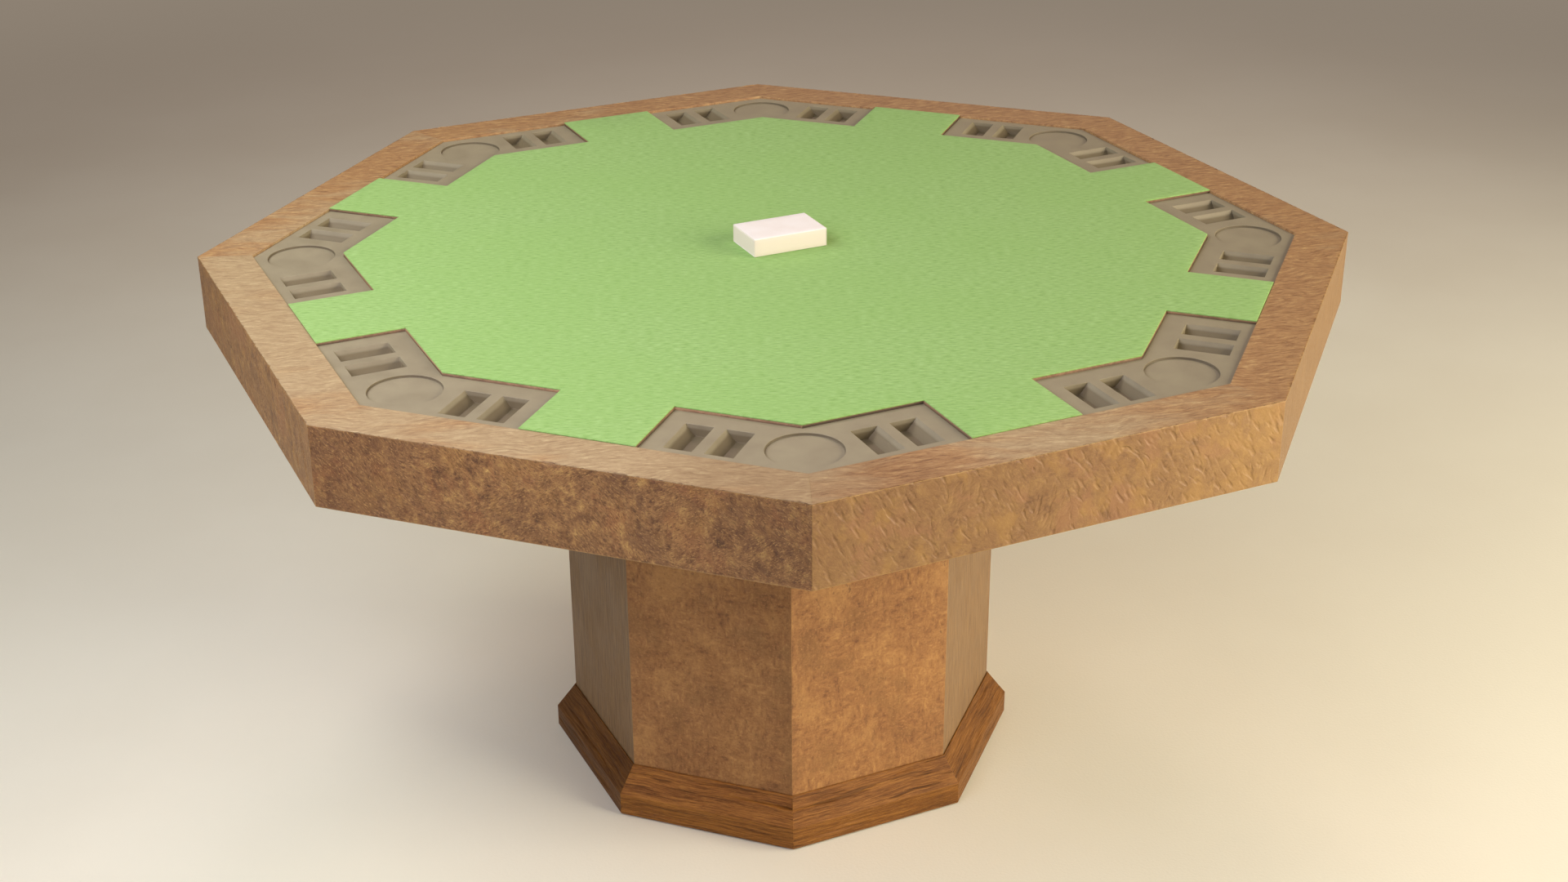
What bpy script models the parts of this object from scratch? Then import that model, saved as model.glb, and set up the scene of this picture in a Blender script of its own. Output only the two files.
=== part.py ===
"""Eight-sided pedestal card table: mitred rim and apron, felted playing panel, eight drop-in chip
trays, octagonal column with a bevelled plinth, four levelling feet and a card box on the felt.

Frame: metres, +Z up. The origin is on the floor under the centre of the table, and the octagon's
flats face +X, -X, +Y and -Y. Side 1 faces +X and corner 1 lies between sides 1 and 2; both run
anticlockwise seen from above.
"""

from math import asin, cos, pi, radians, sin, sqrt, tan

import bmesh
import bpy
from mathutils import Matrix, Vector

# --- driving dimensions ---------------------------------------------------------------------
SIDES = 8
TURN = 2 * pi / SIDES
HALF_TURN = TURN / 2
GAP = 0.0003                    # clearance between neighbouring pieces

ACROSS_FLATS = 1.3716           # table top, 54 in
TABLE_HEIGHT = 0.7185           # floor to the top of the rim
RIM_WIDTH = 0.0644
BOARD_THICK = 0.022             # rim rails, apron boards and the playing layer
APRON_HEIGHT = 0.0978
ARRIS_RADIUS = 0.0008           # softened edge between rim and apron

FELT_PROUD = 0.0014             # felt surface above the rim
FELT_THICK = 0.0015
BASE_PANEL_THICK = 0.015
BEARER_SIZE = (0.060, 1.100, 0.035)

TRAY_ARM_WIDTH = 0.1067         # rim to the tray's inner edge
TRAY_END_OFFSET = 0.0672        # from the middle of a side to the end of a tray's arm
TRAY_RECESS = 0.0033            # tray surface below the rim
CUP_RADIUS = 0.0423
CUP_DEPTH = 0.0030
CUP_CORNER_OFFSET = 0.0620      # from the tray's outer corner to the middle of the cup recess
TROUGH_WIDTH = 0.0327
TROUGH_LENGTH = 0.0638
TROUGH_DEPTH = 0.0136
TROUGH_RIM_OFFSET = 0.0465      # rim to the middle of a trough
TROUGH_SIDE_OFFSETS = (0.1080, 0.1544)   # from the middle of a side to each trough

COLUMN_ACROSS_FLATS = 0.5376
COLUMN_THICK = 0.018
COLUMN_FLOOR_GAP = 0.005
FORMER_THICKS = {"top": 0.025, "middle": 0.018, "bottom": 0.022}
MIDDLE_FORMER_HEIGHT = 0.330
BOTTOM_FORMER_HEIGHT = 0.014

PLINTH_ACROSS_FLATS = 0.5884
PLINTH_FACE_TOP = 0.0330        # floor to the top of the plinth's upright face
PLINTH_TOP = 0.0668             # floor to the top of its bevel
PLINTH_FLOOR_GAP = 0.002
PLINTH_LIP = 0.0015             # flat left at the top of the bevel

FIXING_OFFSET = 0.150           # bolts and feet stand at (+-offset, +-offset)
BOLT_RADIUS = 0.004
BOLT_HEAD_HEIGHT = 0.0053
BOLT_HEAD_RADIUS = 0.0075
BOLT_GRIP = 0.028               # depth of bolt in the bearer

FOOT_RADIUS = 0.020
FOOT_PAD_HEIGHT = 0.008
FOOT_STEM_RADIUS = 0.005
FOOT_STEM_TOP = 0.060

BOX_SIZE = (0.1015, 0.0670, 0.0237)
BOX_CENTRE = (0.0, -0.003)
BOX_WALL = 0.0008
DECK_SIZE = (0.0890, 0.0635, 0.0190)

# --- dimensions worked out from those --------------------------------------------------------
TOP_APOTHEM = ACROSS_FLATS / 2
RIM_INNER = TOP_APOTHEM - RIM_WIDTH
TRAY_INNER = RIM_INNER - TRAY_ARM_WIDTH
RIM_UNDERSIDE = TABLE_HEIGHT - BOARD_THICK
BASE_PANEL_TOP = RIM_UNDERSIDE - GAP
BASE_PANEL_LOW = BASE_PANEL_TOP - BASE_PANEL_THICK
BEARER_TOP = BASE_PANEL_LOW - GAP
BEARER_LOW = BEARER_TOP - BEARER_SIZE[2]
COLUMN_TOP = BEARER_LOW - GAP
FELT_TOP = TABLE_HEIGHT + FELT_PROUD
FELT_LOW = FELT_TOP - FELT_THICK
PLAYING_PANEL_TOP = FELT_LOW - GAP
TRAY_TOP = TABLE_HEIGHT - TRAY_RECESS
TRAY_THICK = TRAY_TOP - RIM_UNDERSIDE
COLUMN_APOTHEM = COLUMN_ACROSS_FLATS / 2
PLINTH_APOTHEM = PLINTH_ACROSS_FLATS / 2
BOX_LOW = FELT_TOP + GAP

CUP_SEGMENTS = 48
TROUGH_SEGMENTS = 24
STEM_SEGMENTS = 20
MERGE = 0.000001


# --- scene, materials and objects ------------------------------------------------------------
def clear_scene():
    for obj in list(bpy.data.objects):
        bpy.data.objects.remove(obj, do_unlink=True)


def new_collection(name):
    collection = bpy.data.collections.new(name)
    bpy.context.scene.collection.children.link(collection)
    return collection


def new_material(name, colour, roughness, metallic=0.0):
    material = bpy.data.materials.new(name)
    material.use_nodes = True
    shader = material.node_tree.nodes["Principled BSDF"]
    shader.inputs["Base Color"].default_value = (*colour, 1.0)
    shader.inputs["Roughness"].default_value = roughness
    shader.inputs["Metallic"].default_value = metallic
    return material


def add_object(collection, name, mesh, material, location=(0, 0, 0), turn=0.0):
    obj = bpy.data.objects.new(name, mesh)
    obj.location = location
    obj.rotation_euler.z = turn
    if material and not mesh.materials:
        mesh.materials.append(material)
    collection.objects.link(obj)
    return obj


# --- meshes ----------------------------------------------------------------------------------
def outline_mesh(name, points, low, high):
    """A flat closed outline in X and Y, filled and extruded from height low to height high."""
    curve = bpy.data.curves.new(name, "CURVE")
    curve.dimensions = "2D"
    curve.fill_mode = "BOTH"
    curve.extrude = (high - low) / 2
    spline = curve.splines.new("POLY")
    spline.points.add(len(points) - 1)
    for point, (x, y) in zip(spline.points, points):
        point.co = (x, y, 0.0, 1.0)
    spline.use_cyclic_u = True
    guide = bpy.data.objects.new(name, curve)
    bpy.context.scene.collection.objects.link(guide)
    mesh = evaluated_mesh(guide, name)
    bpy.data.objects.remove(guide, do_unlink=True)
    bpy.data.curves.remove(curve)
    mesh.transform(Matrix.Translation((0, 0, (low + high) / 2)))
    return mesh


def evaluated_mesh(obj, name):
    """The object's mesh as its modifiers leave it, with loose caps welded."""
    bpy.context.view_layer.update()
    graph = bpy.context.evaluated_depsgraph_get()
    mesh = bpy.data.meshes.new_from_object(obj.evaluated_get(graph))
    mesh.name = name
    bm = bmesh.new()
    bm.from_mesh(mesh)
    bmesh.ops.remove_doubles(bm, verts=bm.verts, dist=MERGE)
    bmesh.ops.recalc_face_normals(bm, faces=bm.faces)
    bm.to_mesh(mesh)
    bm.free()
    return mesh


def mitred_board_mesh(name, section):
    """A board of the octagon's +X side: section gives (distance from the centre, height) points.
    The board is extruded along Y and sawn at both ends on the planes through the corners."""
    reach = max(apothem for apothem, _ in section) * tan(HALF_TURN) + BOARD_THICK
    mesh = outline_mesh(name, section, -reach, reach)
    mesh.transform(Matrix.Rotation(pi / 2, 4, "X"))
    bm = bmesh.new()
    bm.from_mesh(mesh)
    for side in (1, -1):
        outward = Vector((-sin(HALF_TURN), side * cos(HALF_TURN), 0.0))
        everything = list(bm.verts) + list(bm.edges) + list(bm.faces)
        bmesh.ops.bisect_plane(
            bm, geom=everything, dist=MERGE, plane_co=-outward * GAP / 2, plane_no=outward,
            clear_outer=True,
        )
        open_edges = [edge for edge in bm.edges if edge.is_boundary]
        bmesh.ops.holes_fill(bm, edges=open_edges)
    bmesh.ops.recalc_face_normals(bm, faces=bm.faces)
    bm.to_mesh(mesh)
    bm.free()
    return mesh


def block_mesh(name, size, centre=(0, 0, 0)):
    bm = bmesh.new()
    bmesh.ops.create_cube(bm, size=1.0, matrix=Matrix.Translation(centre) @ Matrix.Diagonal((*size, 1.0)))
    mesh = bpy.data.meshes.new(name)
    bm.to_mesh(mesh)
    bm.free()
    return mesh


def cylinder_mesh(name, radius, low, high, segments, matrix=Matrix.Identity(4)):
    """A closed cylinder about Z from height low to height high, then moved by matrix."""
    bm = bmesh.new()
    bmesh.ops.create_cone(
        bm, cap_ends=True, segments=segments, radius1=radius, radius2=radius, depth=high - low,
        matrix=matrix @ Matrix.Translation((0, 0, (low + high) / 2)),
    )
    mesh = bpy.data.meshes.new(name)
    bm.to_mesh(mesh)
    bm.free()
    return mesh


def joined_mesh(name, meshes):
    bm = bmesh.new()
    for mesh in meshes:
        bm.from_mesh(mesh)
        bpy.data.meshes.remove(mesh)
    joined = bpy.data.meshes.new(name)
    bm.to_mesh(joined)
    bm.free()
    return joined


def boolean_mesh(name, mesh, cutter_mesh, operation, cutters):
    """The mesh cut by, or joined to, another closed mesh. The cutter stays in its collection."""
    body = add_object(cutters, name + "_blank", mesh, None)
    cutter = add_object(cutters, name + "_cutter", cutter_mesh, None)
    cutter.hide_render = True
    cutter.display_type = "WIRE"
    modifier = body.modifiers.new("cut", "BOOLEAN")
    modifier.operation = operation
    modifier.solver = "EXACT"
    modifier.object = cutter
    result = evaluated_mesh(body, name)
    bpy.data.objects.remove(body, do_unlink=True)
    return result


def shade_round(mesh, angle=30):
    mesh.shade_smooth()
    mesh.set_sharp_from_angle(angle=radians(angle))


# --- outlines --------------------------------------------------------------------------------
def polar(radius, angle):
    return (radius * cos(angle), radius * sin(angle))


def on_side(side_angle, apothem, along):
    """The point at a distance along a side, from its middle, at a distance from the centre."""
    return (
        apothem * cos(side_angle) - along * sin(side_angle),
        apothem * sin(side_angle) + along * cos(side_angle),
    )


def octagon(apothem):
    radius = apothem / cos(HALF_TURN)
    return [polar(radius, HALF_TURN + i * TURN) for i in range(SIDES)]


def playing_outline():
    """The octagon inside the rim, with a chevron cut out of each corner for a tray."""
    edge = RIM_INNER - GAP
    points = []
    for i in range(SIDES):
        side = i * TURN
        points.append(on_side(side, edge, -TRAY_END_OFFSET))
        points.append(on_side(side, edge, TRAY_END_OFFSET))
        points.append(on_side(side, TRAY_INNER, TRAY_END_OFFSET))
        points.append(polar(TRAY_INNER / cos(HALF_TURN), side + HALF_TURN))
        points.append(on_side(side + TURN, TRAY_INNER, -TRAY_END_OFFSET))
    return points


def tray_outline():
    """One tray, with the table's corner on +X. It clears the rim and the panel all round."""
    outer = RIM_INNER - GAP
    inner = TRAY_INNER + GAP
    end = TRAY_END_OFFSET + GAP
    return [
        (outer / cos(HALF_TURN), 0.0),
        on_side(HALF_TURN, outer, -end),
        on_side(HALF_TURN, inner, -end),
        (inner / cos(HALF_TURN), 0.0),
        on_side(-HALF_TURN, inner, end),
        on_side(-HALF_TURN, outer, end),
    ]


def cup_distance():
    """From the table's centre to the middle of a cup recess."""
    return RIM_INNER / cos(HALF_TURN) - CUP_CORNER_OFFSET


def rounded_arris(first, last, steps=2):
    """Points on the softened edge between the rim's top and the apron's face."""
    centre = (TOP_APOTHEM - ARRIS_RADIUS, TABLE_HEIGHT - ARRIS_RADIUS)
    angles = [first + (last - first) * i / steps for i in range(steps + 1)]
    return [(centre[0] + ARRIS_RADIUS * cos(a), centre[1] + ARRIS_RADIUS * sin(a)) for a in angles]


# --- top -------------------------------------------------------------------------------------
def rim_and_apron_meshes():
    """The rail and the apron meet on a 45 degree mitre, so their seam lies on the table's edge."""
    seam = asin(GAP / 2 / ARRIS_RADIUS)
    mitre_foot = GAP / sqrt(2)
    inner_face = TOP_APOTHEM - BOARD_THICK
    apron_low = TABLE_HEIGHT - APRON_HEIGHT
    rail = [(RIM_INNER, RIM_UNDERSIDE), (inner_face - mitre_foot, RIM_UNDERSIDE)]
    rail += rounded_arris(pi / 4 + seam, pi / 2)
    rail += [(RIM_INNER, TABLE_HEIGHT)]
    apron = [(inner_face, RIM_UNDERSIDE - mitre_foot), (inner_face, apron_low)]
    apron += [(TOP_APOTHEM, apron_low)]
    apron += rounded_arris(0.0, pi / 4 - seam)
    return mitred_board_mesh("rim_rail", rail), mitred_board_mesh("apron_board", apron)


def trough_cutter(side_angle, along):
    """A lying cylinder whose lowest point is the trough's depth below the tray's surface."""
    half = TROUGH_WIDTH / 2
    radius = (half**2 + TROUGH_DEPTH**2) / (2 * TROUGH_DEPTH)
    x, y = on_side(side_angle, RIM_INNER - TROUGH_RIM_OFFSET, along)
    lay_down = Matrix.Rotation(pi / 2, 4, "Y")
    turn = Matrix.Rotation(side_angle, 4, "Z")
    centre = Matrix.Translation((x, y, TRAY_TOP - TROUGH_DEPTH + radius))
    return cylinder_mesh(
        "trough", radius, -TROUGH_LENGTH / 2, TROUGH_LENGTH / 2, TROUGH_SEGMENTS, centre @ turn @ lay_down
    )


def tray_mesh(cutters):
    """A tray with its cup recess and four troughs. Its origin is the cup's centre on the surface."""
    blank = outline_mesh("chip_tray", tray_outline(), RIM_UNDERSIDE, TRAY_TOP)
    cup_place = Matrix.Translation((cup_distance(), 0, 0))
    cup_high = TRAY_TOP + CUP_DEPTH
    pockets = [cylinder_mesh("cup", CUP_RADIUS, TRAY_TOP - CUP_DEPTH, cup_high, CUP_SEGMENTS, cup_place)]
    for offset in TROUGH_SIDE_OFFSETS:
        pockets.append(trough_cutter(HALF_TURN, -offset))
        pockets.append(trough_cutter(-HALF_TURN, offset))
    mesh = boolean_mesh("chip_tray", blank, joined_mesh("pockets", pockets), "DIFFERENCE", cutters)
    mesh.transform(Matrix.Translation((-cup_distance(), 0, -TRAY_TOP)))
    shade_round(mesh)
    return mesh


def build_top(parts, cutters, finish):
    rail, apron = rim_and_apron_meshes()
    tray = tray_mesh(cutters)
    for i in range(SIDES):
        add_object(parts, f"rim_rail_{i + 1}", rail, finish["rim"], turn=i * TURN)
        add_object(parts, f"apron_board_{i + 1}", apron, finish["apron"], turn=i * TURN)
        corner = HALF_TURN + i * TURN
        place = (*polar(cup_distance(), corner), TRAY_TOP)
        add_object(parts, f"chip_tray_{i + 1}", tray, finish["tray"], place, corner)
    outline = playing_outline()
    panel = outline_mesh("playing_panel", outline, RIM_UNDERSIDE, PLAYING_PANEL_TOP)
    add_object(parts, "playing_panel", panel, finish["panel"])
    felt = outline_mesh("felt_cloth", outline, FELT_LOW, FELT_TOP)
    add_object(parts, "felt_cloth", felt, finish["felt"])
    base = outline_mesh("base_panel", octagon(TOP_APOTHEM - BOARD_THICK - GAP), BASE_PANEL_LOW, BASE_PANEL_TOP)
    add_object(parts, "base_panel", base, finish["panel"])


# --- pedestal --------------------------------------------------------------------------------
def fixing_cutter(name, radius, low, high, corners):
    holes = [
        cylinder_mesh(name, radius, low, high, STEM_SEGMENTS, Matrix.Translation((x, y, 0)))
        for x, y in corners
    ]
    return joined_mesh(name, holes)


def fixing_points():
    return [(x * FIXING_OFFSET, y * FIXING_OFFSET) for x, y in ((1, 1), (-1, 1), (-1, -1), (1, -1))]


def build_bearers(parts, cutters, finish):
    """Two battens under the base panel. Each takes two of the bolts from the column in blind holes."""
    middle = (BEARER_TOP + BEARER_LOW) / 2
    for name, side in (("bearer_right", 1), ("bearer_left", -1)):
        blank = block_mesh(name, BEARER_SIZE, (side * FIXING_OFFSET, 0, middle))
        corners = [(x, y) for x, y in fixing_points() if x * side > 0]
        hole_top = BEARER_LOW + BOLT_GRIP + BOLT_RADIUS / 2
        holes = fixing_cutter(name, BOLT_RADIUS + GAP, BEARER_LOW - GAP, hole_top, corners)
        add_object(parts, name, boolean_mesh(name, blank, holes, "DIFFERENCE", cutters), finish["panel"])


def build_formers(parts, cutters, finish):
    """Octagonal plates that the column is glued round: top takes the bolts, bottom takes the feet."""
    outline = octagon(COLUMN_APOTHEM - COLUMN_THICK - GAP)
    lows = {
        "top": COLUMN_TOP - FORMER_THICKS["top"],
        "middle": MIDDLE_FORMER_HEIGHT,
        "bottom": BOTTOM_FORMER_HEIGHT,
    }
    hole_radii = {"top": BOLT_RADIUS + GAP, "bottom": FOOT_STEM_RADIUS + GAP}
    for level, low in lows.items():
        name = f"column_{level}_former"
        high = low + FORMER_THICKS[level]
        mesh = outline_mesh(name, outline, low, high)
        if level in hole_radii:
            holes = fixing_cutter(name, hole_radii[level], low - GAP, high + GAP, fixing_points())
            mesh = boolean_mesh(name, mesh, holes, "DIFFERENCE", cutters)
        add_object(parts, name, mesh, finish["panel"])


def bolt_mesh(cutters):
    """A hexagon-head bolt, origin under its head, shank up."""
    shank_top = FORMER_THICKS["top"] + 2 * GAP + BOLT_GRIP
    head = cylinder_mesh("head", BOLT_HEAD_RADIUS, -BOLT_HEAD_HEIGHT, 0.0, 6)
    shank = cylinder_mesh("shank", BOLT_RADIUS, -BOLT_HEAD_HEIGHT / 2, shank_top, STEM_SEGMENTS)
    mesh = boolean_mesh("top_bolt", head, shank, "UNION", cutters)
    shade_round(mesh)
    return mesh


def foot_mesh():
    """A turned levelling foot: round pad with softened edges and a screw stem, origin on the floor."""
    soft = FOOT_PAD_HEIGHT / 5
    profile = [
        (0.0, FOOT_STEM_TOP),
        (FOOT_STEM_RADIUS - soft / 2, FOOT_STEM_TOP),
        (FOOT_STEM_RADIUS, FOOT_STEM_TOP - soft / 2),
        (FOOT_STEM_RADIUS, FOOT_PAD_HEIGHT),
        (FOOT_RADIUS - soft, FOOT_PAD_HEIGHT),
        (FOOT_RADIUS, FOOT_PAD_HEIGHT - soft),
        (FOOT_RADIUS, soft),
        (FOOT_RADIUS - soft, 0.0),
        (0.0, 0.0),
    ]
    mesh = bpy.data.meshes.new("foot_profile")
    edges = [(i, i + 1) for i in range(len(profile) - 1)]
    mesh.from_pydata([(x, 0.0, z) for x, z in profile], edges, [])
    lathe = bpy.data.objects.new("foot_profile", mesh)
    bpy.context.scene.collection.objects.link(lathe)
    screw = lathe.modifiers.new("turn", "SCREW")
    screw.axis = "Z"
    screw.steps = STEM_SEGMENTS
    screw.render_steps = STEM_SEGMENTS
    screw.use_merge_vertices = True
    screw.merge_threshold = MERGE
    turned = evaluated_mesh(lathe, "levelling_foot")
    bpy.data.objects.remove(lathe, do_unlink=True)
    shade_round(turned)
    return turned


def build_pedestal(parts, cutters, finish):
    inner = COLUMN_APOTHEM - COLUMN_THICK
    panel_section = [
        (inner, COLUMN_FLOOR_GAP),
        (COLUMN_APOTHEM, COLUMN_FLOOR_GAP),
        (COLUMN_APOTHEM, COLUMN_TOP),
        (inner, COLUMN_TOP),
    ]
    plinth_back = COLUMN_APOTHEM + GAP
    plinth_section = [
        (plinth_back, PLINTH_FLOOR_GAP),
        (PLINTH_APOTHEM, PLINTH_FLOOR_GAP),
        (PLINTH_APOTHEM, PLINTH_FACE_TOP),
        (plinth_back + PLINTH_LIP, PLINTH_TOP),
        (plinth_back, PLINTH_TOP),
    ]
    panel = mitred_board_mesh("column_panel", panel_section)
    plinth = mitred_board_mesh("plinth_rail", plinth_section)
    for i in range(SIDES):
        add_object(parts, f"column_panel_{i + 1}", panel, finish["column"], turn=i * TURN)
        add_object(parts, f"plinth_rail_{i + 1}", plinth, finish["plinth"], turn=i * TURN)
    build_bearers(parts, cutters, finish)
    build_formers(parts, cutters, finish)
    bolt = bolt_mesh(cutters)
    foot = foot_mesh()
    bolt_height = COLUMN_TOP - FORMER_THICKS["top"] - GAP
    for i, (x, y) in enumerate(fixing_points()):
        add_object(parts, f"top_bolt_{i + 1}", bolt, finish["steel"], (x, y, bolt_height))
        add_object(parts, f"levelling_foot_{i + 1}", foot, finish["foot"], (x, y, 0.0))


# --- card box --------------------------------------------------------------------------------
def build_card_box(parts, cutters, finish):
    """A plain paperboard sleeve, open at +X, closed by a flap hinged on its top edge."""
    length, width, height = BOX_SIZE
    sleeve_length = length - BOX_WALL - GAP
    centre = Vector((*BOX_CENTRE, BOX_LOW))
    sleeve = block_mesh("card_box", (sleeve_length, width, height), (-(BOX_WALL + GAP) / 2, 0, height / 2))
    hollow_size = (sleeve_length, width - 2 * BOX_WALL, height - 2 * BOX_WALL)
    hollow = block_mesh("hollow", hollow_size, (BOX_WALL / 2, 0, height / 2))
    box = boolean_mesh("card_box", sleeve, hollow, "DIFFERENCE", cutters)
    add_object(parts, "card_box", box, finish["card"], centre)
    flap_hinge = centre + Vector((length / 2 - BOX_WALL, 0, height))
    flap = block_mesh("card_box_flap", (BOX_WALL, width, height), (BOX_WALL / 2, 0, -height / 2))
    add_object(parts, "card_box_flap", flap, finish["card"], flap_hinge)
    deck = block_mesh("card_deck", DECK_SIZE, (0, 0, DECK_SIZE[2] / 2))
    add_object(parts, "card_deck", deck, finish["card"], centre + Vector((0, 0, BOX_WALL + GAP)))


def main():
    clear_scene()
    parts = new_collection("octagonal_card_table")
    cutters = new_collection("cutters")
    finish = {
        "rim": new_material("rim_wood", (0.47, 0.31, 0.18), 0.55),
        "apron": new_material("apron_wood", (0.32, 0.17, 0.08), 0.55),
        "column": new_material("column_wood", (0.30, 0.16, 0.075), 0.6),
        "plinth": new_material("plinth_wood", (0.20, 0.085, 0.035), 0.55),
        "panel": new_material("panel_wood", (0.35, 0.22, 0.13), 0.7),
        "felt": new_material("green_felt", (0.33, 0.54, 0.16), 0.95),
        "tray": new_material("tray_plastic", (0.33, 0.28, 0.20), 0.6),
        "steel": new_material("zinc_steel", (0.60, 0.60, 0.60), 0.35, 1.0),
        "foot": new_material("foot_plastic", (0.03, 0.03, 0.03), 0.5),
        "card": new_material("white_card", (0.86, 0.80, 0.72), 0.6),
    }
    build_top(parts, cutters, finish)
    build_pedestal(parts, cutters, finish)
    build_card_box(parts, cutters, finish)


main()
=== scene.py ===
"""Looks of the octagonal card table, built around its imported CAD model: machined and worn wood boards,
a felted top, moulded chip trays, a paperboard card box, and the studio they are shown in."""

from math import atan2, cos, pi, radians, sin, sqrt, tan

import bmesh
import bpy
from mathutils import Matrix, Vector, noise
from mathutils.geometry import delaunay_2d_cdt


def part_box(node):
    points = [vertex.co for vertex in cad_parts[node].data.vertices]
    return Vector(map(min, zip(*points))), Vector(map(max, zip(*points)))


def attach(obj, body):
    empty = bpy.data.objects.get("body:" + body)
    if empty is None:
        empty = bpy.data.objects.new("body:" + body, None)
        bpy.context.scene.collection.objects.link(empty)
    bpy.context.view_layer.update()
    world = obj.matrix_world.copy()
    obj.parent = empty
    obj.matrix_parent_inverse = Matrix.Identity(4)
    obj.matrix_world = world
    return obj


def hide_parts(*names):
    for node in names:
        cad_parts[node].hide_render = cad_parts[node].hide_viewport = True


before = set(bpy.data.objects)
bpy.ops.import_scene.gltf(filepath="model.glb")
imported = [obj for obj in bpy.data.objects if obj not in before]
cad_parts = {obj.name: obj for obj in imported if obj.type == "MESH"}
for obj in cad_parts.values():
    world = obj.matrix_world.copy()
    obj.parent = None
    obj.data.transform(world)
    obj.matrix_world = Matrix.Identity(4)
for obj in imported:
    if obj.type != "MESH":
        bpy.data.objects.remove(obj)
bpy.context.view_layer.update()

# --- sizes ---
SIDES = 8
TURN = 2 * pi / SIDES
HALF_TURN = TURN / 2
GAP = 0.0003                     # clearance between neighbouring pieces, as in the CAD model
GRAIN_ANGLE = -HALF_TURN         # the rim's figure and the felt's nap run one way across the table
ARC_STEPS = 3                    # facets on a rounded edge
HIDDEN_SPACING = 0.012           # mesh spacing where nobody looks

MITRE_GAP = 0.00006              # how far apart the glued mitres look
SEAM = MITRE_GAP / sqrt(2)       # the rail's step inwards and the apron's step down that leave it
MITRE_RADIUS = 0.00015
WEAR_REACH = 0.006               # how far from a corner the handling wear fades out
RIM_SPACING = 0.0018
RIM_ARRIS = 0.0003
APRON_LOW_RADIUS = 0.0010
COLUMN_SPACING = 0.0030
COLUMN_RADIUS = 0.0006
PLINTH_SPACING = 0.0022
PLINTH_RADIUS = 0.0012

FELT_SPACING = 0.011
FELT_EDGE_SPACING = 0.008
FELT_ROLL = 0.0007
FELT_SWELL = 0.00012

CUP_SEGMENTS = 128
TRAY_ROUNDING = 0.00055

CARD_RADIUS = 0.0012
CARD_WALL = 0.0008


# --- what the frame says ---
def node_points(node):
    return [v.co.copy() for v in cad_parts[node].data.vertices]


RAIL_LOW, RAIL_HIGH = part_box("rim_rail_1")
APRON_LOW, APRON_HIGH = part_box("apron_board_1")
PANEL_LOW, PANEL_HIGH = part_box("column_panel_1")
PLINTH_LOW, PLINTH_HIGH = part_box("plinth_rail_1")
TRAY_LOW, TRAY_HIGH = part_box("chip_tray_1")
FELT_LOW, FELT_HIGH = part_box("felt_cloth")
RIM_INNER = RAIL_LOW.x
RIM_TOP = RAIL_HIGH.z
TOP_APOTHEM = APRON_HIGH.x
APRON_BACK = APRON_LOW.x


# --- meshes ---
def add_object(name, data, matrix=None):
    obj = bpy.data.objects.new(name, data)
    bpy.context.scene.collection.objects.link(obj)
    if matrix is not None:
        obj.matrix_world = matrix
    return obj


def add_piece(name, mesh, material, body, node, matrix=None):
    """Puts a mesh in the scene in place of a CAD node, riding on a body of the CAD model."""
    obj = add_object(name, mesh, matrix)
    if not mesh.materials:
        mesh.materials.append(material)
    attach(obj, body)
    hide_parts(node)


def shade(mesh, angle=40):
    mesh.shade_smooth()
    mesh.set_sharp_from_angle(angle=radians(angle))


def point_values(mesh, **values):
    """Stores one number a vertex, for the materials to read by name."""
    for name, numbers in values.items():
        attribute = mesh.attributes.new(name, "FLOAT", "POINT")
        attribute.data.foreach_set("value", numbers)


def section_points(corners):
    """Points and outward normals round a closed section. Each corner is (x, z, radius, spacing),
    anticlockwise; spacing is how far apart the points are on the edge after it, and may be left out
    where nobody looks. The last value of each point is how close it is to a rounded corner, from 0
    to 1."""
    count = len(corners)
    places = [Vector(corner[:2]) for corner in corners]
    bends = []
    for i, place in enumerate(places):
        before = (place - places[i - 1]).normalized()
        after = (places[(i + 1) % count] - place).normalized()
        bend = atan2(before.x * after.y - before.y * after.x, before.dot(after))
        bends.append((before, after, bend, corners[i][2] * tan(abs(bend) / 2)))
    points = []
    for i, (before, after, bend, tangent) in enumerate(bends):
        radius, spacing, *_ = *corners[i][2:], HIDDEN_SPACING
        start = places[i] - before * tangent
        centre = start + Vector((-before.y, before.x)) * radius
        for step in range(ARC_STEPS + 1):
            angle = bend * step / ARC_STEPS
            normal = Matrix.Rotation(angle, 2) @ Vector((before.y, -before.x))
            points.append((centre + normal * radius, normal, 1.0))
        first = places[i] + after * tangent
        last = places[(i + 1) % count] - after * bends[(i + 1) % count][3]
        length = (last - first).length
        steps = max(1, round(length / spacing))
        normal = Vector((after.y, -after.x))
        for step in range(1, steps):
            share = step / steps
            reach = min(share, 1 - share) * length
            points.append((first.lerp(last, share), normal, max(0.0, 1 - reach / WEAR_REACH)))
    return points


def mesh_of(name, points, faces):
    mesh = bpy.data.meshes.new(name)
    mesh.from_pydata(points, [], faces)
    outward = bmesh.new()
    outward.from_mesh(mesh)
    bmesh.ops.recalc_face_normals(outward, faces=outward.faces)
    outward.to_mesh(mesh)
    outward.free()
    return mesh


def loft_mesh(name, rings):
    """A closed body through rings of the same number of points, with a flat face at each end."""
    size = len(rings[0])
    points = [point for ring in rings for point in ring]
    faces = [tuple(reversed(range(size)))]
    for i in range(len(rings) - 1):
        low, high = i * size, (i + 1) * size
        for j in range(size):
            k = (j + 1) % size
            faces.append((low + j, low + k, high + k, high + j))
    faces.append(tuple(range(len(points) - size, len(points))))
    return mesh_of(name, points, faces)


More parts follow.
